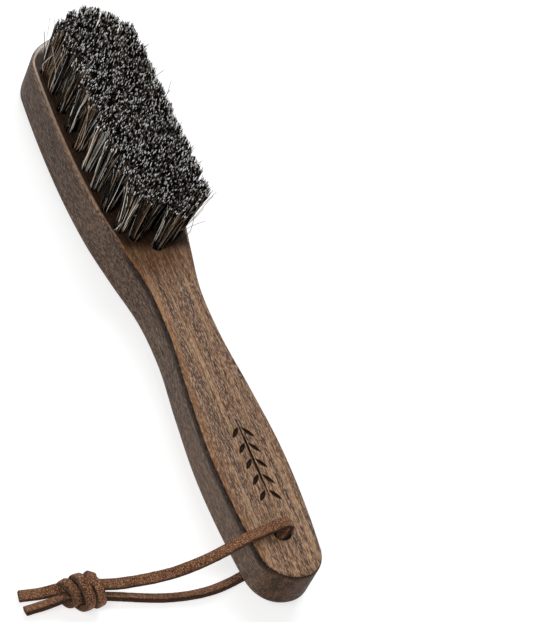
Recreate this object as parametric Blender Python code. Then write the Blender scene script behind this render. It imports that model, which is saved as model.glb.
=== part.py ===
"""A clothes brush: a one-piece wooden body, tufts of horsehair set in blind holes, and a suede hanging lace.

The brush lies on its back with the bristles up. X runs from the tip of the head to the end of the handle,
Y across the brush and Z up, in metres. The origin is under the middle of the wooden body.
"""

import math

import bmesh
import bpy
import numpy as np
from mathutils import Vector

# Wooden body. Positions along it are measured from the tip of the head.
LENGTH = 0.250
FACE_Z = 0.0185  # the flat front face, which the tufts stand on
BACK_RISE = 0.0028  # how far the handle's back is above the head's
RISE_START, RISE_END = 0.106, 0.160
HALF_WIDTHS = (  # (position, half of the width) of the head, the waist and the handle
    (0.000, 0.0172), (0.025, 0.0186), (0.050, 0.0191), (0.075, 0.0183), (0.095, 0.0163), (0.112, 0.0131),
    (0.130, 0.0100), (0.150, 0.0098), (0.175, 0.0120), (0.200, 0.0136), (0.225, 0.0128), (0.250, 0.0102),
)
TIP_CAP, TIP_POWER = 0.0190, 1.8  # length and roundness of the head's rounded tip
END_CAP, END_POWER = 0.0105, 2.2  # the same for the handle's end
FACE_EDGE, TIP_EDGE, BACK_EDGE = 0.0014, 0.0032, 0.0030  # edge roundings
STATIONS = 46
EDGE_STEPS = 3

# Tufts, in five columns along the head: (share of the field's half-width, first, last, how many).
TUFT_COLUMNS = (
    (-1.0, 0.0222, 0.1015, 9),
    (-0.5, 0.0170, 0.1055, 10),
    (0.0, 0.0135, 0.1100, 11),
    (0.5, 0.0170, 0.1055, 10),
    (1.0, 0.0222, 0.1015, 9),
)
FIELD_HALF = 0.0140
FIELD_TIP_HALF = 0.0126  # the same at the tufts' tips
FIELD_MARGIN = 0.0040  # least distance from a tuft's middle to the side of the wood
HOLE_RADIUS, HOLE_DEPTH = 0.00225, 0.0090
STEM_RADIUS = 0.0019
GAP = 0.0003
TUFT_TOP_Z = 0.0412
TUFT_TOP_RADIUS = 0.0039
TUFT_CROWN = 0.0006
TUFT_SIDES = 10
NECK_LEAN = 0.0024  # how far the tufts nearest the handle lean towards it

# Lace hole and lace.
LACE_X = 0.2325
LACE_HOLE_RADIUS, LACE_HOLE_FLARE = 0.0031, 0.0009
LACE_RADIUS = 0.0010
LACE_STEP = 0.0045
KNOT_CENTRE = (0.2378, -0.0658, 0.0053)
KNOT_HALF_SIZE = (0.0060, 0.0068, 0.0050)
UPPER_LEG = (  # from inside the hole, over the front face's edge and down to the knot
    (0.2325, 0.0000, 0.0118), (0.2325, 0.0009, 0.0152), (0.2322, 0.0018, 0.0188), (0.2319, 0.0020, 0.0212),
    (0.2321, -0.0002, 0.0224), (0.2328, -0.0044, 0.0218), (0.2340, -0.0096, 0.0211), (0.2351, -0.0146, 0.0202),
    (0.2361, -0.0192, 0.0179), (0.2366, -0.0242, 0.0146), (0.2366, -0.0296, 0.0109), (0.2363, -0.0353, 0.0075),
    (0.2358, -0.0414, 0.0051), (0.2357, -0.0478, 0.0041), (0.2360, -0.0535, 0.0043), (0.2361, -0.0584, 0.0049),
)
LOWER_LEG = (  # from inside the hole, along the surface under the handle and on to the knot
    (0.2325, 0.0000, 0.0088), (0.2325, 0.0000, 0.0060), (0.2326, -0.0006, 0.0035), (0.2336, -0.0028, 0.0016),
    (0.2352, -0.0062, 0.0012), (0.2366, -0.0098, 0.0012), (0.2384, -0.0148, 0.0012), (0.2401, -0.0210, 0.0012),
    (0.2410, -0.0274, 0.0012), (0.2412, -0.0338, 0.0012), (0.2408, -0.0400, 0.0012), (0.2400, -0.0460, 0.0013),
    (0.2391, -0.0520, 0.0016), (0.2386, -0.0587, 0.0024),
)
TAILS = {
    "lace_tail_inner": ((0.2352, -0.0729, 0.0036), (0.2350, -0.0764, 0.0022), (0.2346, -0.0842, 0.0012)),
    "lace_tail_outer": ((0.2391, -0.0727, 0.0042), (0.2394, -0.0764, 0.0029), (0.2400, -0.0838, 0.0012)),
}


def smooth_curve(points, at):
    """Read a smooth curve through points, whose first column is where they are, at one or more places."""
    known = np.array(points, dtype=float)
    where, values = known[:, 0], known[:, 1:]
    slopes = np.gradient(values, where, axis=0)
    at = np.clip(np.atleast_1d(at), where[0], where[-1])
    left = np.clip(np.searchsorted(where, at) - 1, 0, len(where) - 2)
    span = (where[left + 1] - where[left])[:, None]
    t = (at[:, None] - where[left][:, None]) / span
    return (
        (2 * t**3 - 3 * t**2 + 1) * values[left]
        + (t**3 - 2 * t**2 + t) * span * slopes[left]
        + (3 * t**2 - 2 * t**3) * values[left + 1]
        + (t**3 - t**2) * span * slopes[left + 1]
    )


def rounded_cap(distance, length, power):
    """The share of its full width that a rounded end has at a distance from its tip."""
    inward = np.clip(1 - distance / length, 0, 1)
    return (1 - inward**power) ** (1 / power)


def half_width(x):
    """Half of the body's width at x."""
    width = smooth_curve(HALF_WIDTHS, x)[:, 0]
    return width * rounded_cap(x, TIP_CAP, TIP_POWER) * rounded_cap(LENGTH - x, END_CAP, END_POWER)


def back_height(x):
    """Height of the body's back at x: flat under the head, then a gentle rise to the handle."""
    t = np.clip((x - RISE_START) / (RISE_END - RISE_START), 0, 1)
    return BACK_RISE * t * t * (3 - 2 * t)


def face_edge_radius(x):
    """The front edge's rounding, which is wider round the tip of the head."""
    t = np.clip(x / TIP_CAP, 0, 1)
    return TIP_EDGE + (FACE_EDGE - TIP_EDGE) * t * t * (3 - 2 * t)


def add_material(name, colour, roughness, metallic=0.0):
    material = bpy.data.materials.new(name)
    material.use_nodes = True
    shader = material.node_tree.nodes["Principled BSDF"]
    shader.inputs["Base Color"].default_value = (*colour, 1.0)
    shader.inputs["Roughness"].default_value = roughness
    shader.inputs["Metallic"].default_value = metallic
    return material


def add_object(name, data, parent, material=None, location=(0, 0, 0)):
    """Link a new object under its parent, at a place given in the parent's frame."""
    item = bpy.data.objects.new(name, data)
    bpy.context.scene.collection.objects.link(item)
    item.parent = parent
    item.location = location
    if material:
        data.materials.append(material)
    return item


def add_cutter(name, data, target, parent):
    """Cut a shape out of target and leave the cutter as a hidden guide."""
    cutter = add_object(name, data, parent)
    cutter.hide_render = True
    cutter.display_type = "WIRE"
    cut = target.modifiers.new(name, "BOOLEAN")
    cut.operation = "DIFFERENCE"
    cut.object = cutter


def flat_cap(loop):
    """One face across a ring."""
    return [loop]


def slatted_cap(loop):
    """Faces across a ring from side to side, each between two places along it, so that the cap may curve."""
    pairs = [(loop[i], loop[-i]) for i in range(1, len(loop) // 2)]
    ends = [(loop[0], *pairs[0]), (pairs[-1][1], pairs[-1][0], loop[len(loop) // 2])]
    return ends + [(near[1], near[0], far[0], far[1]) for near, far in zip(pairs, pairs[1:])]


def mesh_of_rings(name, rings, smooth=True, cap=flat_cap):
    """A closed mesh through a stack of rings of points, lowest first, with a cap at each end."""
    build = bmesh.new()
    loops = [[build.verts.new(point) for point in ring] for ring in rings]
    for lower, upper in zip(loops, loops[1:]):
        for i in range(len(lower)):
            j = (i + 1) % len(lower)
            build.faces.new((lower[i], lower[j], upper[j], upper[i]))
    for face in cap(loops[0]):
        build.faces.new(face[::-1])
    for face in cap(loops[-1]):
        build.faces.new(face)
    mesh = bpy.data.meshes.new(name)
    build.to_mesh(mesh)
    build.free()
    if smooth:
        mesh.shade_smooth()
        mesh.set_sharp_from_angle(angle=math.radians(35))
    return mesh


def circle(radius, z, sides, centre=(0.0, 0.0)):
    turns = [2 * math.pi * i / sides for i in range(sides)]
    return [(centre[0] + radius * math.cos(a), centre[1] + radius * math.sin(a), z) for a in turns]


def body_ring(x, width, inset, z):
    """One closed outline of the body, anticlockwise from the tip, moved inwards by inset at height z."""
    slope = np.gradient(width, x)
    scale = np.sqrt(1 + slope**2)
    inset_x = x + inset * slope / scale
    inset_y = np.maximum(width - inset / scale, 0)
    inset_x[0], inset_y[0] = inset[0], 0
    inset_x[-1], inset_y[-1] = LENGTH - inset[-1], 0
    right = [(inset_x[i], -inset_y[i], z[i]) for i in range(len(x))]
    left = [(inset_x[i], inset_y[i], z[i]) for i in range(len(x) - 2, 0, -1)]
    return right + left


def add_body(material, parent):
    """The one-piece wooden body, drilled for its tufts and its lace."""
    turn = np.linspace(0, math.pi, STATIONS)
    x = LENGTH / 2 * (1 - np.cos(turn))
    width = half_width(x)
    back, face_edge = back_height(x), face_edge_radius(x)
    angles = np.linspace(0, math.pi / 2, EDGE_STEPS + 1)
    rings = []
    for angle in angles[::-1]:
        inset = np.full(STATIONS, BACK_EDGE * (1 - math.cos(angle)))
        rings.append(body_ring(x, width, inset, back + BACK_EDGE * (1 - math.sin(angle))))
    for angle in angles:
        inset = face_edge * (1 - math.cos(angle))
        rings.append(body_ring(x, width, inset, FACE_Z - face_edge * (1 - math.sin(angle))))
    body = add_object("wooden_body", mesh_of_rings("wooden_body", rings, cap=slatted_cap), parent, material)
    add_cutter("tuft_hole_cutter", tuft_hole_mesh(), body, parent)
    flare = LACE_HOLE_RADIUS + LACE_HOLE_FLARE
    levels = (
        (flare, BACK_RISE - 0.001), (flare, BACK_RISE), (LACE_HOLE_RADIUS, BACK_RISE + LACE_HOLE_FLARE),
        (LACE_HOLE_RADIUS, FACE_Z - LACE_HOLE_FLARE), (flare, FACE_Z), (flare, FACE_Z + 0.001),
    )
    rings = [circle(radius, z, 20, (LACE_X, 0.0)) for radius, z in levels]
    add_cutter("lace_hole_cutter", mesh_of_rings("lace_hole_cutter", rings, smooth=False), body, parent)


def tuft_bases():
    """Where each tuft's hole is on the front face, by column and then from the head's tip."""
    bases = []
    for share, first, last, count in TUFT_COLUMNS:
        for x in np.linspace(first, last, count):
            room = half_width(np.array([x]))[0] - FIELD_MARGIN
            bases.append((float(x), float(np.clip(share * FIELD_HALF, -room, room))))
    return bases


def tuft_tip(base, share):
    """The middle of a tuft's tip, which leans towards the handle near the neck."""
    field_end = max(last for _, _, last, _ in TUFT_COLUMNS)
    lean = max(0.0, (base[0] - field_end * 0.8) / (field_end * 0.2))
    return (base[0] + NECK_LEAN * lean, share * FIELD_TIP_HALF)


def tuft_hole_mesh():
    """All the blind holes, as one cutter of separate rods."""
    build = bmesh.new()
    for x, y in tuft_bases():
        rod = bmesh.ops.create_cone(
            build, cap_ends=True, segments=TUFT_SIDES, radius1=HOLE_RADIUS, radius2=HOLE_RADIUS, depth=2 * HOLE_DEPTH
        )
        bmesh.ops.translate(build, verts=rod["verts"], vec=(x, y, FACE_Z))
    mesh = bpy.data.meshes.new("tuft_hole_cutter")
    build.to_mesh(mesh)
    build.free()
    return mesh


def add_tufts(material, parent):
    """One solid for each tuft: a stem in its hole that opens out to the tuft's share of the brushing surface."""
    bases = tuft_bases()
    shares = [share for share, _, _, count in TUFT_COLUMNS for _ in range(count)]
    tips = [tuft_tip(base, share) for base, share in zip(bases, shares)]
    height = TUFT_TOP_Z - FACE_Z
    for index, (base, tip) in enumerate(zip(bases, tips)):
        nearest = min(math.dist(tip, other) for other in tips if other is not tip)
        top = min(TUFT_TOP_RADIUS, nearest / 2 - GAP)
        lean = (tip[0] - base[0], tip[1] - base[1])
        levels = (
            (STEM_RADIUS, GAP - HOLE_DEPTH, 0.0),
            (STEM_RADIUS, 0.0, 0.0),
            (top, height - 2 * TUFT_CROWN, 1.0),
            (top * 0.6, height, 1.0),
        )
        turn = math.pi / TUFT_SIDES  # lines the stem's flats up with the drilled rod's
        rings = []
        for radius, z, share in levels:
            ring = circle(radius, z, TUFT_SIDES)
            rings.append([
                (
                    x * math.cos(turn) - y * math.sin(turn) + lean[0] * share,
                    x * math.sin(turn) + y * math.cos(turn) + lean[1] * share,
                    z,
                )
                for x, y, z in ring
            ])
        name = f"tuft_{index + 1:02d}"
        add_object(name, mesh_of_rings(name, rings), parent, material, (base[0], base[1], FACE_Z))


def smooth_route(points, step):
    """Points about a step apart on a smooth curve through the route's own points."""
    route = np.array(points)
    along = np.concatenate([[0], np.cumsum(np.linalg.norm(np.diff(route, axis=0), axis=1))])
    places = np.linspace(0, along[-1], max(3, round(along[-1] / step) + 1))
    return smooth_curve(np.column_stack([along, route]), places)


def add_lace(name, points, material, swivel):
    """A stretch of the lace as a tube, in the frame of the empty that it turns with."""
    curve = bpy.data.curves.new(name, "CURVE")
    curve.dimensions = "3D"
    curve.bevel_depth = LACE_RADIUS
    curve.bevel_resolution = 2
    curve.use_fill_caps = True
    route = smooth_route(points, LACE_STEP) - np.array(swivel.location)
    spline = curve.splines.new("POLY")
    spline.points.add(len(route) - 1)
    for point, place in zip(spline.points, route):
        point.co = (*place, 1.0)
    spline.use_smooth = True
    add_object(name, curve, swivel, material)


def add_knot(material, swivel):
    """The overhand knot's outer shape."""
    build = bmesh.new()
    bmesh.ops.create_uvsphere(build, u_segments=16, v_segments=10, radius=1.0)
    bmesh.ops.scale(build, vec=KNOT_HALF_SIZE, verts=build.verts)
    mesh = bpy.data.meshes.new("lace_knot")
    build.to_mesh(mesh)
    build.free()
    mesh.shade_smooth()
    add_object("lace_knot", mesh, swivel, material, Vector(KNOT_CENTRE) - swivel.location)


def main():
    for item in list(bpy.data.objects):
        bpy.data.objects.remove(item, do_unlink=True)
    walnut = add_material("stained_walnut", (0.085, 0.047, 0.030), 0.50)
    horsehair = add_material("horsehair", (0.030, 0.024, 0.020), 0.60)
    suede = add_material("suede_lace", (0.135, 0.058, 0.030), 0.90)
    brush = add_object("brush_frame", None, None, location=(-LENGTH / 2, 0, 0))
    swivel = add_object("loop_swivel", None, brush, location=(LACE_X, 0, 0))
    add_body(walnut, brush)
    add_tufts(horsehair, brush)
    add_lace("lace_upper_leg", UPPER_LEG, suede, swivel)
    add_lace("lace_lower_leg", LOWER_LEG, suede, swivel)
    for name, points in TAILS.items():
        add_lace(name, points, suede, swivel)
    add_knot(suede, swivel)


main()
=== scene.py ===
"""The looks of the clothes brush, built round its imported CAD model: wood, hair, lace, light and camera.

Everything is in metres in the row frame: X runs from the head's tip to the handle's end, Y across and Z up.
The shape functions measure x from the head's tip, and TIP_X is where that tip is in the row frame.
"""

import math

import bmesh
import bpy
import numpy as np
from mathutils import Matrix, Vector


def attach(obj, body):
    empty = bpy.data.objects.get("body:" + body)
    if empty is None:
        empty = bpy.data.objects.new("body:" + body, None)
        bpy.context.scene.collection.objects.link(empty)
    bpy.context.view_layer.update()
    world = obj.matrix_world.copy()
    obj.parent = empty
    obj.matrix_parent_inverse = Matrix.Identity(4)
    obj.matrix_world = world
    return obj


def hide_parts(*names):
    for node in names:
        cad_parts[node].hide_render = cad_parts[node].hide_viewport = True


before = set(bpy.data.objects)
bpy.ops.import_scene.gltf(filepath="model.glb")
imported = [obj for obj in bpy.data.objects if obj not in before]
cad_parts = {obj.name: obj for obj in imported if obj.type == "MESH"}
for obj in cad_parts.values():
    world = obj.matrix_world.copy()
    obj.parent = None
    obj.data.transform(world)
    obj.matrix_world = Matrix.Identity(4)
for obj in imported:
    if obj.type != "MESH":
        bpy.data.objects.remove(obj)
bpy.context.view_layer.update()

# Wooden body, as in the CAD source.
LENGTH = 0.250
TIP_X = -LENGTH / 2
FACE_Z = 0.0185
BACK_RISE, RISE_START, RISE_END = 0.0028, 0.106, 0.160
HALF_WIDTHS = (
    (0.000, 0.0172), (0.025, 0.0186), (0.050, 0.0191), (0.075, 0.0183), (0.095, 0.0163), (0.112, 0.0131),
    (0.130, 0.0100), (0.150, 0.0098), (0.175, 0.0120), (0.200, 0.0136), (0.225, 0.0128), (0.250, 0.0102),
)
TIP_CAP, TIP_POWER, END_CAP, END_POWER = 0.0190, 1.8, 0.0105, 2.2
FACE_EDGE, TIP_EDGE, BACK_EDGE = 0.0014, 0.0032, 0.0030
HOLE_RADIUS, HOLE_DEPTH = 0.00225, 0.0090
LACE_X, LACE_HOLE_RADIUS, LACE_HOLE_FLARE = 0.2325, 0.0031, 0.0009
STATIONS, EDGE_STEPS, HOLE_SIDES, LACE_HOLE_SIDES, FLARE_STEPS = 150, 8, 24, 40, 6
PAST_SURFACE = 0.001  # how far the lace hole's cutter goes past the wood
SAME_LEVEL = 1e-5  # points this close in height belong to one end of a CAD tuft

# Engraved ornament: a stem along the handle and pairs of leaves that lean away from it.
STEM_START, STEM_STOP, STEM_Y, STEM_WIDTH, STEM_DEPTH = 0.1865, 0.2210, 0.0010, 0.0009, 0.0005
LEAF_LENGTH, LEAF_WIDTH, LEAF_DEPTH, LEAF_POINTS = 0.0054, 0.0016, 0.0006, 9
LEAF_PAIRS, LEAF_ANGLE, LEAF_REACH = 5, 38, 0.0037
LEAVES_AFTER, LEAVES_BEFORE = 0.0035, 0.0055  # how far the leaves keep from the stem's ends
GROOVE_FLOOR, GROOVE_TOP, GROOVE_PAST = 0.55, 1.05, 0.0004  # shares of a leaf's size, height past the face

# Lace: a flat suede strip, whose two ends run from the hole through the knot to their cut ends.
LACE_WIDTH, LACE_THICKNESS, LACE_STEP = 0.0036, 0.0018, 0.0008
LACE_SIDES, LACE_SQUARENESS = 24, 0.42  # points round the strip, and the power that squares its section
LACE_WANDER, LACE_FUZZ = 0.020, 0.010  # unevenness of its width and of its surface, as shares
WANDER_STEP = 4  # route points from one change of width to the next
CUT_SHARE, CUT_BULGE = 0.90, 0.00012  # size of a cut end, and how far it stands out
EDGE_START, EDGE_SPAN, EDGE_POWER = 0.78, 0.20, 1.3  # where the strip's dark edges begin and how they grow
LACE_DARK_EDGE, KNOT_DARK_EDGE = 1.0, 0.75
LACE_LOWEST = 0.0001
LACE_SEEDS, KNOT_SEED = (11, 12), 31
UPPER_LACE = (
    (0.2325, 0.0000, 0.0118), (0.2325, 0.0009, 0.0152), (0.2322, 0.0018, 0.0188), (0.2319, 0.0020, 0.0212),
    (0.2321, -0.0002, 0.0224), (0.2328, -0.0044, 0.0218), (0.2340, -0.0096, 0.0211), (0.2351, -0.0146, 0.0202),
    (0.2361, -0.0192, 0.0179), (0.2366, -0.0242, 0.0146), (0.2366, -0.0296, 0.0109), (0.2363, -0.0353, 0.0075),
    (0.2358, -0.0414, 0.0051), (0.2357, -0.0478, 0.0041), (0.2360, -0.0535, 0.0043), (0.2361, -0.0584, 0.0049),
    (0.2356, -0.0656, 0.0047), (0.2352, -0.0729, 0.0036), (0.2350, -0.0764, 0.0022), (0.2346, -0.0842, 0.0012),
)
LOWER_LACE = (
    (0.2325, 0.0000, 0.0088), (0.2325, 0.0000, 0.0060), (0.2326, -0.0006, 0.0035), (0.2336, -0.0028, 0.0016),
    (0.2352, -0.0062, 0.0012), (0.2366, -0.0098, 0.0012), (0.2384, -0.0148, 0.0012), (0.2401, -0.0210, 0.0012),
    (0.2410, -0.0274, 0.0012), (0.2412, -0.0338, 0.0012), (0.2408, -0.0400, 0.0012), (0.2400, -0.0460, 0.0013),
    (0.2391, -0.0520, 0.0016), (0.2386, -0.0587, 0.0024), (0.2387, -0.0656, 0.0036), (0.2391, -0.0727, 0.0042),
    (0.2394, -0.0764, 0.0029), (0.2400, -0.0838, 0.0012),
)
KNOT_CENTRE = (0.2375, -0.0656, 0.0050)
KNOT_BANDS = (  # (y of its middle, slant, half-sizes along and up, shift towards the head's tip, phase)
    (-0.0700, 21, 0.0038, 0.0032, 0.0000, 0.3),
    (-0.0666, 13, 0.0052, 0.0043, -0.0008, 1.7),
    (-0.0624, 19, 0.0045, 0.0037, -0.0006, 3.1),
    (-0.0640, -28, 0.0031, 0.0040, 0.0016, 4.4),
)
KNOT_WIDTH, KNOT_LIFT, KNOT_RIPPLE = 0.0031, 0.0012, 0.0003
KNOT_FIRST, KNOT_LAST, KNOT_POINTS = -110, 256, 46  # degrees at which a turn starts and stops, points along it
KNOT_CORE = (0.0042, 0.0057, 0.0036)

# Hair.
HAIR_SEED = 7
HAIR_SPACING, END_JITTER = 0.00052, 0.00018  # between cut ends on the brushing surface
HAIR_RADIUS, HAIR_TAPER, HAIR_THINNEST, HAIR_THICKEST = 0.000112, (1.10, 0.90), 0.75, 1.30
# The last stretch of a hair, from 0.968 up, takes its end's slot, which for some hairs is a painted highlight.
HAIR_LEVELS = (0.0, 0.18, 0.40, 0.62, 0.82, 0.968, 1.0)
HAIR_TOP_Z, TOP_JITTER, TOP_DROOP, DROOP_WIDTH = 0.0409, 0.00050, 0.0022, 0.0024
TUFT_ROOT_RADIUS, ROOT_JITTER, ROOT_DEPTH, SAME_HEADING = 0.00208, 0.00008, 0.0015, 0.35
SPREAD_POWER = 1.25  # above 1, a hair spreads more near its cut end
CLUMP_SIZE, MIN_CLUMPS, CLUMP_PULL, CLUMP_POWER, CLUMP_TIP_PULL = 14, 3, 0.45, 1.3, 0.16
HAIR_BOW, HAIR_WAVE = 0.00030, 0.00009
STRAY_RIM, RIM_STRAYS, OTHER_STRAYS, STRAY_SHIFT, STRAY_BOW = 0.0020, 0.07, 0.006, 0.0020, 0.0016
HAIR_TONES = (  # (slot, colour, roughness)
    ("hair_black", (0.0025, 0.0022, 0.0020), 0.45),
    ("hair_dark", (0.010, 0.007, 0.005), 0.45),
    ("hair_brown", (0.080, 0.043, 0.022), 0.45),
    ("hair_tan", (0.400, 0.270, 0.165), 0.50),
    ("hair_grey", (0.430, 0.420, 0.380), 0.50),
    ("hair_pale", (0.850, 0.810, 0.720), 0.50),
    ("hair_end_highlight", (0.980, 0.975, 0.950), 0.60),
    ("hair_end_dim_highlight", (0.240, 0.220, 0.200), 0.60),
)
TONE_SHARES = (0.50, 0.14, 0.10, 0.12, 0.08, 0.06)  # of the first six slots, before a tuft varies them
SHARES_LOW, SHARES_HIGH = 0.6, 1.4
# The two end slots are painted highlights, a bright one and a dim grey one; the chances below pick them, and
# the bright ones are thicker.
HIGHLIGHT_END, DIM_HIGHLIGHT_END = 6, 7  # slots of the cut ends
BRIGHT_BELOW, DARK_BELOW = 0.17, 0.22  # a chance below the first is a bright end, below the second a dark one
BRIGHT_END_SIZE = 1.40
STRAY_TONES, STRAY_RADIUS, STRAY_LEVELS = (5, 5, 4, 5, 4, 0), 0.00011, 12
STRAYS = (  # bent hairs that leave their tufts
    ((0.1018, -0.0135, 0.0180), (0.1033, -0.0131, 0.0220),
     (0.1030, -0.0119, 0.0250), (0.1041, -0.0061, 0.0290)),
    ((0.0225, -0.0150, 0.0180), (0.0231, -0.0169, 0.0230),
     (0.0248, -0.0170, 0.0270), (0.0265, -0.0164, 0.0310)),
    ((0.0150, -0.0100, 0.0180), (0.0138, -0.0136, 0.0270),
     (0.0141, -0.0148, 0.0330), (0.0141, -0.0159, 0.0380)),
    ((0.1060, 0.0070, 0.0180), (0.1083, 0.0093, 0.0270),
     (0.1093, 0.0106, 0.0320), (0.1092, 0.0123, 0.0360)),
    ((0.1046, 0.0085, 0.0180), (0.1043, 0.0141, 0.0220),
     (0.1046, 0.0165, 0.0240), (0.1056, 0.0181, 0.0260)),
    ((0.1040, 0.0090, 0.0180), (0.1045, 0.0115, 0.0280),
     (0.1056, 0.0141, 0.0380), (0.1056, 0.0153, 0.0415)),
)
FIELD_SIDE, FIELD_TIP, FIELD_NECK = 0.0163, 0.0089, 0.1158  # how far the cut ends reach to sides and ends
FIELD_TIP_BOW, FIELD_NECK_BOW, FIELD_NECK_BOW_NEAR = 40, 45, 16  # roundness of the ends, the last where y < 0
FIELD_GRID_LENGTH, FIELD_GRID_HALF = 0.1230, 0.0180
FIELD_RAGGED, NOTCH_REACH, NOTCH_DEPTH = 0.00055, 0.0047, 0.0035
TUFT_EDGE_JITTER = 0.00030  # how ragged the line between two tufts' hairs is

# Wire anchors in the bottoms of the tufts' holes.
WIRE_RADIUS, WIRE_SIDES, STAPLE_POINTS = 0.00018, 6, 7
STAPLE_HALF, STAPLE_FOOT, STAPLE_TOP, STAPLE_BEND, STAPLE_MIDDLE = 0.0010, 0.0004, 0.0016, 0.0006, 0.0012

# Floor.
FLOOR_Z, FLOOR_HALF = -0.0002, 3


# -------------------------------------------------------------------------------- shape helpers


def smooth_curve(points, at):
    """Read a smooth curve through points, whose first column is where they are, at one or more places."""
    known = np.array(points, dtype=float)
    where, values = known[:, 0], known[:, 1:]
    slopes = np.gradient(values, where, axis=0)
    at = np.clip(np.atleast_1d(at), where[0], where[-1])
    left = np.clip(np.searchsorted(where, at) - 1, 0, len(where) - 2)
    span = (where[left + 1] - where[left])[:, None]
    t = (at[:, None] - where[left][:, None]) / span
    return (
        (2 * t**3 - 3 * t**2 + 1) * values[left]
        + (t**3 - 2 * t**2 + t) * span * slopes[left]
        + (3 * t**2 - 2 * t**3) * values[left + 1]
        + (t**3 - t**2) * span * slopes[left + 1]
    )


def rounded_cap(distance, length, power):
    """The share of its full width that a rounded end has at a distance from its tip."""
    inward = np.clip(1 - distance / length, 0, 1)
    return (1 - inward**power) ** (1 / power)


def half_width(x):
    """Half of the body's width at x."""
    width = smooth_curve(HALF_WIDTHS, x)[:, 0]
    return width * rounded_cap(x, TIP_CAP, TIP_POWER) * rounded_cap(LENGTH - x, END_CAP, END_POWER)


def back_height(x):
    """Height of the body's back at x."""
    t = np.clip((x - RISE_START) / (RISE_END - RISE_START), 0, 1)
    return BACK_RISE * t * t * (3 - 2 * t)


def face_edge_radius(x):
    """The front edge's rounding at x."""
    t = np.clip(x / TIP_CAP, 0, 1)
    return TIP_EDGE + (FACE_EDGE - TIP_EDGE) * t * t * (3 - 2 * t)


def add_object(name, data, *materials):
    """A new object in the scene, with its data and its material slots."""
    item = bpy.data.objects.new(name, data)
    bpy.context.scene.collection.objects.link(item)
    for material in materials:
        data.materials.append(material)
    return item


def mesh_of_rings(name, rings, slatted=False):
    """A closed mesh through a stack of rings; slatted caps follow a surface that curves along the rings."""
    build = bmesh.new()
    loops = [[build.verts.new(point) for point in ring] for ring in rings]
    for lower, upper in zip(loops, loops[1:]):
        for i in range(len(lower)):
            j = (i + 1) % len(lower)
            build.faces.new((lower[i], lower[j], upper[j], upper[i]))
    for loop, turned in ((loops[0], -1), (loops[-1], 1)):
        faces = [loop]
        if slatted:
            pairs = [(loop[i], loop[-i]) for i in range(1, len(loop) // 2)]
            faces = [(loop[0], *pairs[0]), (pairs[-1][1], pairs[-1][0], loop[len(loop) // 2])]
            faces += [(near[1], near[0], far[0], far[1]) for near, far in zip(pairs, pairs[1:])]
        for face in faces:
            build.faces.new(face[::turned])
    bmesh.ops.recalc_face_normals(build, faces=build.faces)
    mesh = bpy.data.meshes.new(name)
    build.to_mesh(mesh)
    build.free()
    return mesh


def circle(radius, z, sides, centre):
    """Points round a level circle."""
    turns = [2 * math.pi * i / sides for i in range(sides)]
    return [(centre[0] + radius * math.cos(a), centre[1] + radius * math.sin(a), z) for a in turns]


def baked(item):
    """Apply an object's modifiers, and remove the objects that cut it."""
    cutters = [m.object for m in item.modifiers if m.type == "BOOLEAN"]
    evaluated = item.evaluated_get(bpy.context.evaluated_depsgraph_get())
    mesh = bpy.data.meshes.new_from_object(evaluated)
    item.modifiers.clear()
    item.data = mesh
    for cutter in cutters:
        bpy.data.objects.remove(cutter, do_unlink=True)


# -------------------------------------------------------------------------------- material helpers


class Shader:
    """A Principled material and short calls for building its nodes."""

    def __init__(self, name):
        self.material = bpy.data.materials.new(name)
        self.material.use_nodes = True
        self.tree = self.material.node_tree
        self.surface = self.tree.nodes["Principled BSDF"]

    def put(self, value, socket):
        """Link a value that comes from a node, or set one that is the same everywhere."""
        if isinstance(value, bpy.types.NodeSocket):
            self.tree.links.new(value, socket)
        else:
            socket.default_value = value

    def node(self, kind, inputs, **settings):
        made = self.tree.nodes.new("ShaderNode" + kind)
        for key, value in settings.items():
            setattr(made, key, value)
        for key, value in inputs.items():
            self.put(value, made.inputs[key])
        return made

    def place(self):
        """Object coordinates."""
        return self.node("TexCoord", {}).outputs["Object"]

    def stretched(self, scale, offset=(0, 0, 0)):
        """Object coordinates, scaled along each axis."""
        inputs = {"Vector": self.place(), "Scale": scale, "Location": offset}
        return self.node("Mapping", inputs).outputs["Vector"]

    def noise(self, vector, scale, detail, roughness, distortion=0.0):
        inputs = {"Vector": vector, "Scale": scale, "Detail": detail}
        inputs.update(Roughness=roughness, Distortion=distortion)
        return self.node("TexNoise", inputs).outputs["Fac"]

    def between(self, value, low, high, to_low=0.0, to_high=1.0, smooth=True):
        """Value as a share of the way from low to high."""
        kind = "SMOOTHSTEP" if smooth else "LINEAR"
        inputs = {"Value": value, "From Min": low, "From Max": high, "To Min": to_low, "To Max": to_high}
        return self.node("MapRange", inputs, interpolation_type=kind).outputs["Result"]

    def maths(self, operation, a, b=0.0):
        return self.node("Math", {0: a, 1: b}, operation=operation).outputs[0]

    def product(self, value, *others):
        for other in others:
            value = self.maths("MULTIPLY", value, other)
        return value

    def mix(self, share, a, b):
        made = self.node("Mix", {0: share}, data_type="RGBA")
        for value, socket in ((a, made.inputs[6]), (b, made.inputs[7])):
            self.put(value if isinstance(value, bpy.types.NodeSocket) else (*value, 1.0), socket)
        return made.outputs[2]

    def layered(self, colour, *layers):
        """Colour under layers, each of them (value, where it starts, where it is full, share, colour)."""
        for value, start, full, share, over in layers:
            colour = self.mix(self.between(value, start, full, 0.0, share), colour, over)
        return colour

    def bump(self, height, strength, distance):
        inputs = {"Height": height, "Strength": strength, "Distance": distance}
        return self.node("Bump", inputs).outputs["Normal"]

    def finish(self, **sockets):
        """Set the surface's sockets, whose names have _ for each space, and return the material."""
        for key, value in sockets.items():
            self.put(value, self.surface.inputs[key.replace("_", " ")])
        return self.material


# -------------------------------------------------------------------------------- camera


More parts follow.
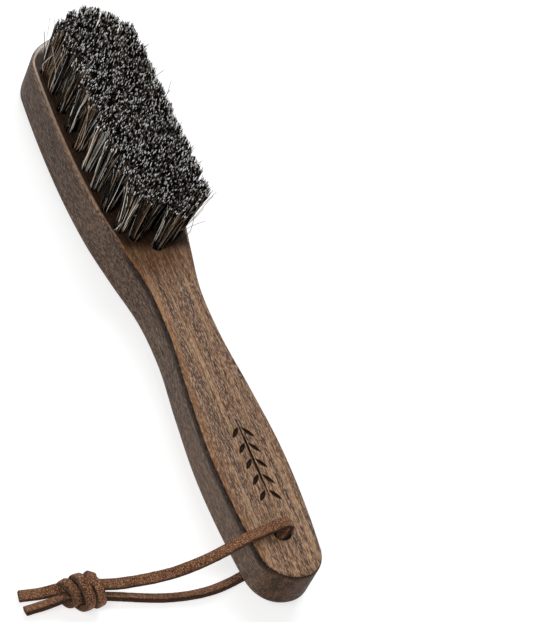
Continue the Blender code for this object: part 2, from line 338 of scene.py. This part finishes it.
camera = bpy.data.objects.new("camera", bpy.data.cameras.new("camera"))
bpy.context.scene.collection.objects.link(camera)
camera.location = (0.4221, -0.3189, 0.4920)
camera.rotation_euler = [math.radians(a) for a in (45.124, -20.138, 68.138)]
camera.data.lens = 139.99
camera.data.sensor_width = 36.0
camera.data.sensor_fit = "HORIZONTAL"
camera.data.clip_start, camera.data.clip_end = 0.05, 20.0
bpy.context.scene.camera = camera


# -------------------------------------------------------------------------------- suede lace


def suede_material():
    """Napped reddish-brown suede: soft mottling, a coarse pile with painted highlights on its light flecks,
    and dark cut edges.
    """
    s = Shader("suede")
    pile = s.noise(s.place(), 2500.0, 2.0, 0.75)
    clumps = s.noise(s.place(), 700.0, 3.0, 0.6)
    cloudy = s.noise(s.place(), 140.0, 2.0, 0.5)
    edge = s.node("Attribute", {}, attribute_name="edge").outputs["Fac"]
    colour = s.mix(s.between(cloudy, 0.35, 0.65), (0.110, 0.040, 0.017), (0.180, 0.074, 0.034))
    colour = s.layered(
        colour,
        (clumps, 0.48, 0.64, 0.60, (0.270, 0.130, 0.068)),
        # painted highlight on the pile's light flecks
        (pile, 0.51, 0.64, 0.85, (0.500, 0.285, 0.170)),
        (pile, 0.48, 0.35, 0.80, (0.018, 0.006, 0.003)),
    )
    # The cut edges' dark colour, which on the knot's core is painted shade.
    colour = s.mix(s.maths("MULTIPLY", edge, 0.88), colour, (0.014, 0.006, 0.004))
    height = s.maths("ADD", pile, s.maths("MULTIPLY", clumps, 0.8))
    return s.finish(
        Base_Color=colour, Roughness=0.92, Specular_IOR_Level=0.15, Sheen_Weight=0.15, Sheen_Roughness=0.5,
        Sheen_Tint=(0.9, 0.62, 0.45, 1.0), Normal=s.bump(height, 0.9, 0.00040),
    )


def smooth_route(points):
    """Points about LACE_STEP apart on a smooth curve through a route's own points."""
    route = np.array(points, dtype=float)
    along = np.concatenate([[0], np.cumsum(np.linalg.norm(np.diff(route, axis=0), axis=1))])
    places = np.linspace(0, along[-1], round(along[-1] / LACE_STEP) + 1)
    return smooth_curve(np.column_stack([along, route]), places)


def strip_frames(route, facing):
    """The flat side's direction at each point, carried along the route without twisting."""
    tangents = np.gradient(route, axis=0)
    tangents /= np.linalg.norm(tangents, axis=1)[:, None]
    normal = np.array(facing, dtype=float)
    normals = []
    for tangent in tangents:
        normal = normal - tangent * np.dot(normal, tangent)
        normal /= np.linalg.norm(normal)
        normals.append(normal)
    return tangents, np.array(normals)


def strip_mesh(name, route, tangents, normals, width, dark_edge, seed):
    """A flat strip swept along a route, with rounded edges that are slightly uneven, as cut suede is."""
    random = np.random.default_rng(seed)
    across = np.cross(tangents, normals)
    turns = np.linspace(0, 2 * math.pi, LACE_SIDES, endpoint=False)
    side = np.sign(np.cos(turns)) * np.abs(np.cos(turns)) ** LACE_SQUARENESS
    flat = np.sign(np.sin(turns)) * np.abs(np.sin(turns)) ** LACE_SQUARENESS
    count = len(route)
    changes = np.arange(-WANDER_STEP, count + 2 * WANDER_STEP, WANDER_STEP)
    wander = np.interp(np.arange(count), changes, random.normal(0, 1, len(changes)))
    widths = width * (1 + LACE_WANDER * wander)
    rings = []
    for i in range(count):
        fuzz = 1 + random.normal(0, LACE_FUZZ, LACE_SIDES)
        sideways = np.outer(side * fuzz * widths[i] / 2, across[i])
        outwards = np.outer(flat * fuzz * LACE_THICKNESS / 2, normals[i])
        ring = route[i] + (sideways + outwards)
        ring[:, 2] = np.maximum(ring[:, 2], LACE_LOWEST)
        rings.append(ring)
    for end, inward in ((0, 1), (-1, -1)):
        middle = route[end]
        rim = middle + (rings[end] - middle) * CUT_SHARE - tangents[end] * inward * CUT_BULGE
        rings.insert(0 if end == 0 else len(rings), rim)
    mesh = mesh_of_rings(name, rings)
    shares = np.clip((np.abs(side) - EDGE_START) / EDGE_SPAN, 0, 1) ** EDGE_POWER
    shares = np.tile(dark_edge * shares, len(rings))
    shares[:LACE_SIDES] = shares[-LACE_SIDES:] = 1.0
    mark_edges(mesh, shares)
    mesh.shade_smooth()
    return mesh


def mark_edges(mesh, shares):
    """Store how much each point of the suede takes the dark colour of a cut edge; on the knot's core that
    colour is painted shade.
    """
    mesh.attributes.new("edge", "FLOAT", "POINT").data.foreach_set("value", shares.astype(np.float32))


def add_lace(name, points, suede, seed):
    """One end of the lace, from inside its hole to its cut end. Returns it and its route."""
    route = smooth_route(points) + np.array((TIP_X, 0, 0))
    tangents, normals = strip_frames(route, (0, 1, 0))
    mesh = strip_mesh(name, route, tangents, normals, LACE_WIDTH, LACE_DARK_EDGE, seed)
    return add_object(name, mesh, suede), route


def knot_turn(name, route, centre, suede, seed):
    """A stretch of the lace that is wrapped round the knot, so that its flat side faces outwards."""
    tangents, _ = strip_frames(route, (0, 0, 1))
    outward = route - centre
    outward -= tangents * np.sum(outward * tangents, axis=1)[:, None]
    normals = outward / np.linalg.norm(outward, axis=1)[:, None]
    mesh = strip_mesh(name, route, tangents, normals, KNOT_WIDTH, KNOT_DARK_EDGE, seed)
    return add_object(name, mesh, suede)


def add_knot(suede):
    """The knot: turns of the lace that slant across it, over a core that fills it."""
    pieces = []
    angles = np.radians(np.linspace(KNOT_FIRST, KNOT_LAST, KNOT_POINTS))
    for index, (y, slant, along, up, shift, phase) in enumerate(KNOT_BANDS):
        slant = math.radians(slant)
        over = np.array((math.cos(slant), math.sin(slant), 0))
        middle = np.array((KNOT_CENTRE[0] + TIP_X - shift, y, up + KNOT_LIFT))
        route = middle + np.outer(along * np.cos(angles), over) + np.outer(up * np.sin(angles), (0, 0, 1))
        route[:, 1] += KNOT_RIPPLE * np.sin(2 * angles + phase)
        pieces.append(knot_turn(f"lace_knot_turn_{index + 1}", route, middle, suede, KNOT_SEED + index))
    core = bmesh.new()
    bmesh.ops.create_icosphere(core, subdivisions=3, radius=1.0)
    bmesh.ops.scale(core, vec=KNOT_CORE, verts=core.verts)
    bmesh.ops.translate(core, vec=(KNOT_CENTRE[0] + TIP_X, *KNOT_CENTRE[1:]), verts=core.verts)
    mesh = bpy.data.meshes.new("lace_knot_core")
    core.to_mesh(mesh)
    core.free()
    # The core takes the dark edge colour all over: painted shade in the gaps between the turns.
    mark_edges(mesh, np.ones(len(mesh.vertices)))
    pieces.append(add_object("lace_knot_core", mesh, suede))
    return pieces


suede = suede_material()
upper, upper_route = add_lace("lace_upper", UPPER_LACE, suede, LACE_SEEDS[0])
lower, lower_route = add_lace("lace_lower", LOWER_LACE, suede, LACE_SEEDS[1])
knot = add_knot(suede)
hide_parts("lace_upper_leg", "lace_tail_inner")
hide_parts("lace_lower_leg", "lace_tail_outer")
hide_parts("lace_knot")
for piece in (upper, lower, *knot):
    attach(piece, "loop")


# -------------------------------------------------------------------------------- walnut


def walnut_outline(s, along):
    """The body's half-width at a place along it, as a curve in the material."""
    widest, samples = 0.02, 26
    outline = s.node("FloatCurve", {"Value": along})
    curve = outline.mapping.curves[0]
    places = np.linspace(0, 1, samples)
    widths = smooth_curve(HALF_WIDTHS, places * LENGTH)[:, 0] / widest
    curve.points[0].location, curve.points[1].location = (0, widths[0]), (1, widths[-1])
    for place, width in zip(places[1:-1], widths[1:-1]):
        curve.points.new(place, width)
    outline.mapping.update()
    return s.maths("MULTIPLY", outline.outputs["Value"], widest)


def walnut_material():
    """Oiled walnut: long soft figure, short dark pores, golden streaks, a greyer side and a darker rim.
    Painted shade darkens the side walls and the head's face among the tufts, painted highlights light the
    head's rim and tip, and painted light brightens the neck.

    along is 0 at the head's tip and 1 at the handle's end; heights compare with FACE_Z, the front face.
    """
    s = Shader("walnut")
    x, y, z = s.node("SeparateXYZ", {"Vector": s.place()}).outputs
    along = s.maths("DIVIDE", s.maths("SUBTRACT", x, TIP_X), LENGTH)
    rim = s.maths("SUBTRACT", walnut_outline(s, along), s.maths("ABSOLUTE", y))
    face = s.between(z, 0.0166, 0.0182)
    head = s.between(along, 0.455, 0.435)
    handle = s.between(along, 0.40, 0.47)
    figure = s.noise(s.stretched((7, 170, 120)), 1.0, 3.0, 0.55, 0.35)
    bands = s.noise(s.stretched((20, 400, 400), (3, 0, 0)), 1.0, 3.0, 0.6, 0.15)
    lines = s.noise(s.stretched((15, 640, 640), (9, 0, 0)), 1.0, 2.0, 0.6, 0.15)
    streaks = s.noise(s.stretched((150, 1400, 1400), (5, 0, 0)), 1.0, 2.0, 0.6, 0.40)
    grain = s.noise(s.stretched((480, 2600, 2600), (7, 0, 0)), 1.0, 2.0, 0.7)
    pores = s.noise(s.stretched((260, 2600, 2600), (13, 0, 0)), 1.0, 1.0, 0.5)
    swirl = s.noise(s.place(), 260.0, 3.0, 0.6, 0.9)

    colour = s.layered(
        s.mix(s.between(figure, 0.38, 0.62), (0.112, 0.062, 0.045), (0.190, 0.102, 0.055)),
        (bands, 0.50, 0.62, 0.75, (0.290, 0.158, 0.084)),
        (bands, 0.47, 0.37, 0.70, (0.086, 0.057, 0.050)),
        (lines, 0.54, 0.61, 0.80, (0.450, 0.275, 0.155)),
        (lines, 0.44, 0.36, 0.50, (0.050, 0.028, 0.020)),
        (streaks, 0.52, 0.64, 0.55, (0.370, 0.210, 0.110)),
        (streaks, 0.48, 0.36, 0.50, (0.060, 0.034, 0.024)),
        (grain, 0.51, 0.62, 0.80, (0.480, 0.325, 0.215)),
        (grain, 0.48, 0.36, 0.60, (0.045, 0.024, 0.016)),
        (pores, 0.38, 0.29, 0.75, (0.018, 0.009, 0.006)),
    )
    # Side walls: darker and greyer than the face, partly the wood's own tone and partly painted shade; painted
    # shade darkens them more towards the head, and painted light lightens them towards the handle's end.
    side_colour_and_shade = s.layered(
        s.mix(s.between(bands, 0.40, 0.60), (0.068, 0.042, 0.029), (0.112, 0.068, 0.046)),
        (streaks, 0.48, 0.36, 0.55, (0.030, 0.015, 0.009)),
        (grain, 0.49, 0.37, 0.80, (0.018, 0.009, 0.006)),
        (grain, 0.51, 0.64, 0.65, (0.270, 0.185, 0.130)),
        (along, 0.40, 0.10, 0.30, (0.022, 0.012, 0.008)),
        (along, 0.65, 0.85, 0.25, (0.200, 0.140, 0.105)),
    )
    end_colour = s.layered(
        s.mix(s.between(swirl, 0.40, 0.60), (0.024, 0.012, 0.007), (0.074, 0.036, 0.019)),
        (grain, 0.51, 0.64, 0.40, (0.240, 0.150, 0.100)),
    )
    # Colour of the painted highlight along the head's rim: pale grey at the tip, browner further along.
    rim_highlight_colour = s.mix(s.between(along, 0.02, 0.30), (0.62, 0.57, 0.52), (0.34, 0.25, 0.19))

    # Painted shade: the head's flat face among the tufts, darkened almost to black from just past the tip.
    painted_shade_among_tufts = s.product(s.between(z, 0.01842, 0.01849), s.between(along, 0.022, 0.036), head, 0.90)
    # Painted highlight: a pale line along the inner side of the head's rounded front edge, fading out towards
    # the neck.
    painted_rim_highlight = s.product(
        s.between(z, 0.01795, 0.01830), s.between(z, 0.01850, 0.01838),
        s.between(along, 0.46, 0.30, 0.0, 0.60),
    )
    # Painted highlight: pale speckles over the head's tip, faint on its side wall.
    tip = s.product(
        s.between(along, 0.052, 0.026), s.between(grain, 0.44, 0.54, 0.20, 0.90),
        s.between(z, 0.0172, 0.0181, 0.05, 1.0),
    )
    warm = s.product(
        s.between(rim, 0.0034, 0.0012), s.between(z, 0.0177, 0.0182),
        s.product(s.between(y, -0.003, -0.006), handle), s.between(grain, 0.40, 0.58, 0.60, 0.25),
    )
    # Painted light: a brighter orange on the face at the neck, lifting the shade that the bristles cast there.
    neck = s.product(
        s.between(along, 0.432, 0.448), s.between(along, 0.52, 0.475), face,
        s.between(streaks, 0.42, 0.56, 0.62, 0.15),
    )
    crease = s.product(
        s.between(z, 0.0148, 0.0168), s.between(z, 0.01828, 0.0179), handle,
        s.between(grain, 0.40, 0.60, 1.0, 0.85),
    )
    end = s.product(s.between(along, 0.968, 0.990), s.between(z, 0.0186, 0.0160))
    for share, over in (
        (s.maths("SUBTRACT", 1.0, face), side_colour_and_shade),
        (painted_shade_among_tufts, (0.024, 0.011, 0.006)),
        (painted_rim_highlight, rim_highlight_colour),
        (tip, (0.620, 0.575, 0.530)),
        (warm, (0.260, 0.108, 0.038)),
        (neck, (0.200, 0.088, 0.036)),
        (crease, (0.010, 0.004, 0.002)),
        (end, end_colour),
    ):
        colour = s.mix(share, colour, over)

    height = s.maths("ADD", s.maths("MULTIPLY", grain, 0.6), s.between(pores, 0.28, 0.40))
    roughness = s.between(streaks, 0.35, 0.65, 0.60, 0.46, smooth=False)
    return s.finish(
        Base_Color=colour, Roughness=roughness, Specular_IOR_Level=0.10, Normal=s.bump(height, 0.50, 0.00014),
    )


def scorched_material():
    """The burnt walls of the engraved ornament."""
    s = Shader("scorched_walnut")
    grain = s.noise(s.stretched((400, 2200, 2200)), 1.0, 2.0, 0.6)
    colour = s.mix(s.between(grain, 0.35, 0.65), (0.010, 0.006, 0.004), (0.034, 0.018, 0.010))
    normal = s.bump(grain, 0.5, 0.0001)
    return s.finish(Base_Color=colour, Roughness=0.7, Specular_IOR_Level=0.05, Normal=normal)


def body_ring(x, width, inset, z):
    """One closed outline of the body, anticlockwise from the tip, moved inwards by inset at height z."""
    slope = np.gradient(width, x)
    scale = np.sqrt(1 + slope**2)
    inset_x = x + inset * slope / scale
    inset_y = np.maximum(width - inset / scale, 0)
    inset_x[0], inset_y[0] = inset[0], 0
    inset_x[-1], inset_y[-1] = LENGTH - inset[-1], 0
    inset_x += TIP_X
    right = [(inset_x[i], -inset_y[i], z[i]) for i in range(len(x))]
    left = [(inset_x[i], inset_y[i], z[i]) for i in range(len(x) - 2, 0, -1)]
    return right + left


def body_mesh():
    """The whole body: its outline, stacked from the rounded edge of the back to that of the front face."""
    x = LENGTH / 2 * (1 - np.cos(np.linspace(0, math.pi, STATIONS)))
    width, back, face_edge = half_width(x), back_height(x), face_edge_radius(x)
    angles = np.linspace(0, math.pi / 2, EDGE_STEPS + 1)
    rings = []
    for angle in angles[::-1]:
        inset = np.full(STATIONS, BACK_EDGE * (1 - math.cos(angle)))
        rings.append(body_ring(x, width, inset, back + BACK_EDGE * (1 - math.sin(angle))))
    for angle in angles:
        inset = face_edge * (1 - math.cos(angle))
        rings.append(body_ring(x, width, inset, FACE_Z - face_edge * (1 - math.sin(angle))))
    return mesh_of_rings("wooden_body_fine", rings, slatted=True)


def leaf_rings(centre, length, width, heading, depth):
    """A pointed leaf that narrows as it goes down into the wood."""
    turn = np.array(((math.cos(heading), -math.sin(heading)), (math.sin(heading), math.cos(heading))))
    share = np.linspace(0, 1, LEAF_POINTS)
    swell = np.sin(math.pi * share) ** 0.8 * width / 2
    outline = [(length * (t - 0.5), -w) for t, w in zip(share, swell)]
    outline += [(length * (t - 0.5), w) for t, w in zip(share[-2:0:-1], swell[-2:0:-1])]
    rings = []
    for scale, z in ((GROOVE_FLOOR, FACE_Z - depth), (1.0, FACE_Z), (GROOVE_TOP, FACE_Z + GROOVE_PAST)):
        rings.append([(*(centre + turn @ (np.array(point) * scale)), z) for point in outline])
    return rings


def ornament_mesh():
    """A plain sprig, engraved along the handle: a stem and pairs of leaves."""
    build = bmesh.new()
    start, stop = STEM_START + TIP_X, STEM_STOP + TIP_X
    middle = np.array(((start + stop) / 2, STEM_Y))
    stacks = [leaf_rings(middle, stop - start, STEM_WIDTH, 0.0, STEM_DEPTH)]
    for x in np.linspace(start + LEAVES_AFTER, stop - LEAVES_BEFORE, LEAF_PAIRS):
        for side in (-1, 1):
            heading = side * math.radians(LEAF_ANGLE)
            centre = np.array((x, STEM_Y)) + np.array((math.cos(heading), math.sin(heading))) * LEAF_REACH
            stacks.append(leaf_rings(centre, LEAF_LENGTH, LEAF_WIDTH, heading, LEAF_DEPTH))
    for stack in stacks:
        part = mesh_of_rings("leaf", stack)
        build.from_mesh(part)
        bpy.data.meshes.remove(part)
    mesh = bpy.data.meshes.new("ornament_cutter")
    build.to_mesh(mesh)
    build.free()
    return mesh


def add_cutter(name, mesh, target, material):
    """Cut a mesh out of the target, whose new walls take the material."""
    cut = target.modifiers.new(name, "BOOLEAN")
    cut.operation = "DIFFERENCE"
    cut.solver = "EXACT"
    cut.material_mode = "TRANSFER"
    cut.object = add_object(name, mesh, material)


def tuft_ends(node):
    """The middles of a CAD tuft's foot and of its tip."""
    points = np.array([v.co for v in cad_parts[node].data.vertices])
    foot = points[points[:, 2] < points[:, 2].min() + SAME_LEVEL].mean(axis=0)
    tip = points[points[:, 2] > points[:, 2].max() - SAME_LEVEL].mean(axis=0)
    return foot, tip


def tuft_holes_mesh(feet):
    """Rods that reach into the wood by the holes' depth."""
    rods = bmesh.new()
    for x, y, _ in feet:
        rod = bmesh.ops.create_cone(
            rods, cap_ends=True, segments=HOLE_SIDES, radius1=HOLE_RADIUS, radius2=HOLE_RADIUS,
            depth=2 * HOLE_DEPTH,
        )
        bmesh.ops.translate(rods, verts=rod["verts"], vec=(x, y, FACE_Z))
    mesh = bpy.data.meshes.new("tuft_holes")
    rods.to_mesh(mesh)
    rods.free()
    return mesh


def lace_hole_mesh():
    """A round bar through the handle that flares where it leaves the back and the front face."""
    levels = [(LACE_HOLE_RADIUS + LACE_HOLE_FLARE, BACK_RISE - PAST_SURFACE)]
    for turn in np.linspace(0, math.pi / 2, FLARE_STEPS):
        radius = LACE_HOLE_RADIUS + LACE_HOLE_FLARE * (1 - math.sin(turn))
        levels.append((radius, BACK_RISE + LACE_HOLE_FLARE * (1 - math.cos(turn))))
    levels += [(radius, FACE_Z + BACK_RISE - z) for radius, z in levels[::-1]]
    rings = [circle(radius, z, LACE_HOLE_SIDES, (LACE_X + TIP_X, 0.0)) for radius, z in levels]
    return mesh_of_rings("lace_hole", rings)


def add_body(feet):
    """The wooden body, with its tufts' holes, its lace hole and its ornament."""
    walnut, scorched = walnut_material(), scorched_material()
    body = add_object("wooden_body_fine", body_mesh(), walnut)
    add_cutter("tuft_holes", tuft_holes_mesh(feet), body, walnut)
    add_cutter("lace_hole", lace_hole_mesh(), body, walnut)
    add_cutter("ornament", ornament_mesh(), body, scorched)
    baked(body)
    body.data.shade_smooth()
    body.data.set_sharp_from_angle(angle=math.radians(30))
    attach(body, "brush")
    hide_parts("wooden_body")


# -------------------------------------------------------------------------------- horsehair


def hair_materials():
    """Natural horsehair's tones, one slot each, and two painted highlights for the hairs' cut ends, a bright
    one and a dim grey one.
    """
    made = []
    for name, colour, roughness in HAIR_TONES:
        s = Shader(name)
        made.append(s.finish(Base_Color=(*colour, 1.0), Roughness=roughness, Specular_IOR_Level=0.05))
    return made


def field_depth(points):
    """How far inside the edge of the brushing surface points are."""
    x, y = points[:, 0] - TIP_X, points[:, 1]
    from_tip = x - FIELD_TIP - FIELD_TIP_BOW * y**2
    from_neck = FIELD_NECK - np.where(y > 0, FIELD_NECK_BOW, FIELD_NECK_BOW_NEAR) * y**2 - x
    return np.minimum(np.minimum(FIELD_SIDE - np.abs(y), from_tip), from_neck)


def cut_ends(tips, random):
    """Where the hairs are cut: close and even, but not in rows, and notched between the outermost tufts."""
    row = HAIR_SPACING * math.sqrt(3) / 2
    columns = np.arange(0.0, FIELD_GRID_LENGTH, HAIR_SPACING)
    x, y = np.meshgrid(columns, np.arange(-FIELD_GRID_HALF, FIELD_GRID_HALF, row))
    x = x + (np.arange(x.shape[0]) % 2)[:, None] * HAIR_SPACING / 2 + TIP_X
    points = np.column_stack([x.ravel(), y.ravel()]) + random.normal(0, END_JITTER, (x.size, 2))
    depth = field_depth(points)
    reach = np.linalg.norm(points[:, None] - tips[None, :, :2], axis=2).min(axis=1)
    inside = depth > random.normal(0, FIELD_RAGGED, len(points))
    return points[inside & ((reach < NOTCH_REACH) | (depth > NOTCH_DEPTH))]


def strand_mesh(name, paths, radii, tones, ends):
    """Thin three-sided hairs along paths of shape (hairs, levels, 3)."""
    hairs, levels = paths.shape[:2]
    turns = np.linspace(0, 2 * math.pi, 3, endpoint=False)
    section = np.column_stack([np.cos(turns), np.sin(turns), np.zeros(3)])
    taper = np.linspace(*HAIR_TAPER, levels)[None, :, None, None]
    points = paths[:, :, None, :] + radii[:, None, None, None] * taper * section
    first = (np.arange(hairs) * levels * 3)[:, None, None, None]
    level = (np.arange(levels - 1) * 3)[None, :, None, None]
    corner = np.array([(i, (i + 1) % 3, (i + 1) % 3 + 3, i + 3) for i in range(3)])[None, None]
    walls = (first + level + corner).reshape(-1, 4)
    roots = first[:, 0, 0] + np.array((2, 1, 0))
    tops = first[:, 0, 0] + (levels - 1) * 3 + np.array((0, 1, 2))
    mesh = bpy.data.meshes.new(name)
    mesh.from_pydata(points.reshape(-1, 3).tolist(), [], walls.tolist() + roots.tolist() + tops.tolist())
    wall_tones = np.repeat(tones[:, None], (levels - 1) * 3, axis=1)
    # The top stretch's walls and the cap take the end's slot, for some hairs a painted highlight.
    wall_tones[:, -3:] = ends[:, None]
    slots = np.concatenate([wall_tones.ravel(), tones, ends])
    mesh.polygons.foreach_set("material_index", slots.astype(np.int32))
    mesh.shade_smooth()
    return mesh


def tuft_paths(foot, middle, tips, random):
    """Paths of one tuft's hairs, which fan out from its hole to their cut ends in loose clumps."""
    hairs = len(tips)
    toward = tips - middle[:2]
    reach = np.linalg.norm(toward, axis=1)
    heading = np.arctan2(toward[:, 1], toward[:, 0])
    apart = np.abs((heading[:, None] - heading[None] + math.pi) % (2 * math.pi) - math.pi)
    edge = np.where(apart < SAME_HEADING, reach[None], 0).max(axis=1)
    roots = foot[:2] + toward / edge[:, None] * TUFT_ROOT_RADIUS
    roots += random.normal(0, ROOT_JITTER, (hairs, 2))
    depth = field_depth(tips)
    droop = TOP_DROOP * np.clip(1 - depth / DROOP_WIDTH, 0, 1) ** 2
    tops = HAIR_TOP_Z + random.normal(0, TOP_JITTER, hairs) - droop
    stray = random.random(hairs) < np.where(depth < STRAY_RIM, RIM_STRAYS, OTHER_STRAYS)
    shift = random.normal(0, 1, (hairs, 2)) * np.where(stray, STRAY_SHIFT, 0)[:, None]
    ends = np.column_stack([tips + shift, tops])
    starts = np.column_stack([roots, np.full(hairs, FACE_Z - ROOT_DEPTH)])
    t = np.array(HAIR_LEVELS)[None, :, None]
    lift = np.concatenate([np.repeat(t**SPREAD_POWER, 2, axis=2), t], axis=2)
    paths = starts[:, None] + (ends - starts)[:, None] * lift
    clumps = tips[random.choice(hairs, max(MIN_CLUMPS, hairs // CLUMP_SIZE), replace=False)]
    nearest = np.linalg.norm(tips[:, None] - clumps[None], axis=2).argmin(axis=1)
    pull = CLUMP_PULL * np.sin(math.pi * t**CLUMP_POWER) + CLUMP_TIP_PULL * t**4
    paths[:, :, :2] += (clumps[nearest] - tips)[:, None] * pull
    bow = random.normal(0, 1, (hairs, 1, 2)) * np.where(stray, STRAY_BOW, HAIR_BOW)[:, None, None]
    wave = random.normal(0, HAIR_WAVE, (hairs, 1, 2))
    paths[:, :, :2] += bow * np.sin(math.pi * t) + wave * np.sin(3 * math.pi * t)
    return paths


def add_tufts(names, feet, tips, materials):
    """One piece of hair for each tuft, which fans out from its hole to meet its neighbours."""
    random = np.random.default_rng(HAIR_SEED)
    ends = cut_ends(tips, random)
    distance = np.linalg.norm(ends[:, None] - tips[None, :, :2], axis=2)
    distance += random.normal(0, TUFT_EDGE_JITTER, distance.shape)
    nearest = distance.argmin(axis=1)
    for index, name in enumerate(names):
        own = ends[nearest == index]
        paths = tuft_paths(feet[index], tips[index], own, random)
        radii = HAIR_RADIUS * random.uniform(HAIR_THINNEST, HAIR_THICKEST, len(own))
        shares = np.array(TONE_SHARES) * random.uniform(SHARES_LOW, SHARES_HIGH, len(TONE_SHARES))
        tones = random.choice(len(TONE_SHARES), len(own), p=shares / shares.sum())
        # Each hair's end gets the bright painted highlight, the dim grey one or its own dark tone.
        chance = random.random(len(own))
        cut = np.where(chance < DARK_BELOW, DIM_HIGHLIGHT_END, np.minimum(tones, 1))
        cut[chance < BRIGHT_BELOW] = HIGHLIGHT_END
        radii[cut == HIGHLIGHT_END] *= BRIGHT_END_SIZE
        piece = name.replace("tuft", "hair")
        hair = add_object(piece, strand_mesh(piece, paths, radii, tones, cut), *materials)
        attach(hair, "brush")
        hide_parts(name)


def add_strays(materials):
    """The bent hairs that leave their tufts, as one piece."""
    steps = np.linspace(0, 1, STRAY_LEVELS)
    ways = [np.column_stack([np.linspace(0, 1, len(way)), way]) for way in STRAYS]
    paths = np.array([smooth_curve(way, steps) for way in ways])
    paths[:, :, 0] += TIP_X
    tones = np.array(STRAY_TONES)
    strays = strand_mesh("hair_strays", paths, np.full(len(paths), STRAY_RADIUS), tones, tones)
    strays = add_object("hair_strays", strays, *materials)
    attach(strays, "brush")


def add_anchors(feet):
    """The wire staples that hold the tufts in their holes, out of sight."""
    s = Shader("anchor_wire")
    scratches = s.noise(s.place(), 5200.0, 2.0, 0.6)
    wire = s.finish(
        Base_Color=s.mix(scratches, (0.42, 0.31, 0.16), (0.60, 0.47, 0.27)), Metallic=1.0,
        Roughness=s.between(scratches, 0.3, 0.7, 0.30, 0.45),
    )
    build = bmesh.new()
    bend = np.linspace(0, math.pi, STAPLE_POINTS)
    turns = np.linspace(0, 2 * math.pi, WIRE_SIDES, endpoint=False)
    for x, y, z in feet:
        route = [(x, y - STAPLE_HALF, z + STAPLE_FOOT)]
        for a in bend:
            route.append((x, y - STAPLE_HALF * math.cos(a), z + STAPLE_TOP + STAPLE_BEND * math.sin(a)))
        route.append((x, y + STAPLE_HALF, z + STAPLE_FOOT))
        rings = []
        for point in route:
            out = Vector((0, point[1] - y, point[2] - z - STAPLE_MIDDLE)).normalized()
            across = Vector((1, 0, 0))
            steps = [math.cos(a) * WIRE_RADIUS * across + math.sin(a) * WIRE_RADIUS * out for a in turns]
            rings.append([Vector(point) + step for step in steps])
        part = mesh_of_rings("anchor", rings)
        build.from_mesh(part)
        bpy.data.meshes.remove(part)
    mesh = bpy.data.meshes.new("tuft_anchors")
    build.to_mesh(mesh)
    build.free()
    mesh.shade_smooth()
    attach(add_object("tuft_anchors", mesh, wire), "brush")


tufts = sorted(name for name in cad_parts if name.startswith("tuft_"))
tuft_feet, tuft_tips = (np.array(ends) for ends in zip(*map(tuft_ends, tufts)))
add_body(tuft_feet)
hair = hair_materials()
add_tufts(tufts, tuft_feet, tuft_tips, hair)
add_strays(hair)
add_anchors(tuft_feet)


# -------------------------------------------------------------------------------- floor and light


def add_floor():
    """A white sweep that glows a little, so that shadows on it stay faint."""
    s = Shader("white_paper")
    fibres = s.noise(s.place(), 60.0, 2.0, 0.5)
    floor_material = s.finish(
        Base_Color=s.mix(fibres, (0.50, 0.50, 0.50), (0.54, 0.54, 0.54)), Roughness=1.0,
        Specular_IOR_Level=0.0, Emission_Color=(1.0, 1.0, 1.0, 1.0), Emission_Strength=0.67,
    )
    corners = [(x * FLOOR_HALF, y * FLOOR_HALF, FLOOR_Z) for x, y in ((-1, -1), (1, -1), (1, 1), (-1, 1))]
    mesh = bpy.data.meshes.new("floor")
    mesh.from_pydata(corners, [], [(0, 1, 2, 3)])
    add_object("floor", mesh, floor_material)


def add_light(name, direction, distance, size, power):
    """A square white softbox that faces the brush from a direction."""
    data = bpy.data.lights.new(name, "AREA")
    data.size, data.energy = size, power
    light = bpy.data.objects.new(name, data)
    bpy.context.scene.collection.objects.link(light)
    light.location = Vector(direction).normalized() * distance
    light.rotation_euler = Vector(direction).to_track_quat("Z", "Y").to_euler()


add_floor()
add_light("key", (-0.50, 0.25, 0.80), 1.2, 0.8, 9.8)
add_light("fill", (0.45, -0.65, 0.75), 1.3, 0.5, 6.6)
world = bpy.data.worlds.new("studio")
world.use_nodes = True
background = world.node_tree.nodes["Background"].inputs
background["Color"].default_value = (1.0, 1.0, 1.0, 1.0)
background["Strength"].default_value = 0.20
bpy.context.scene.world = world
bpy.context.scene.view_settings.view_transform = "Standard"
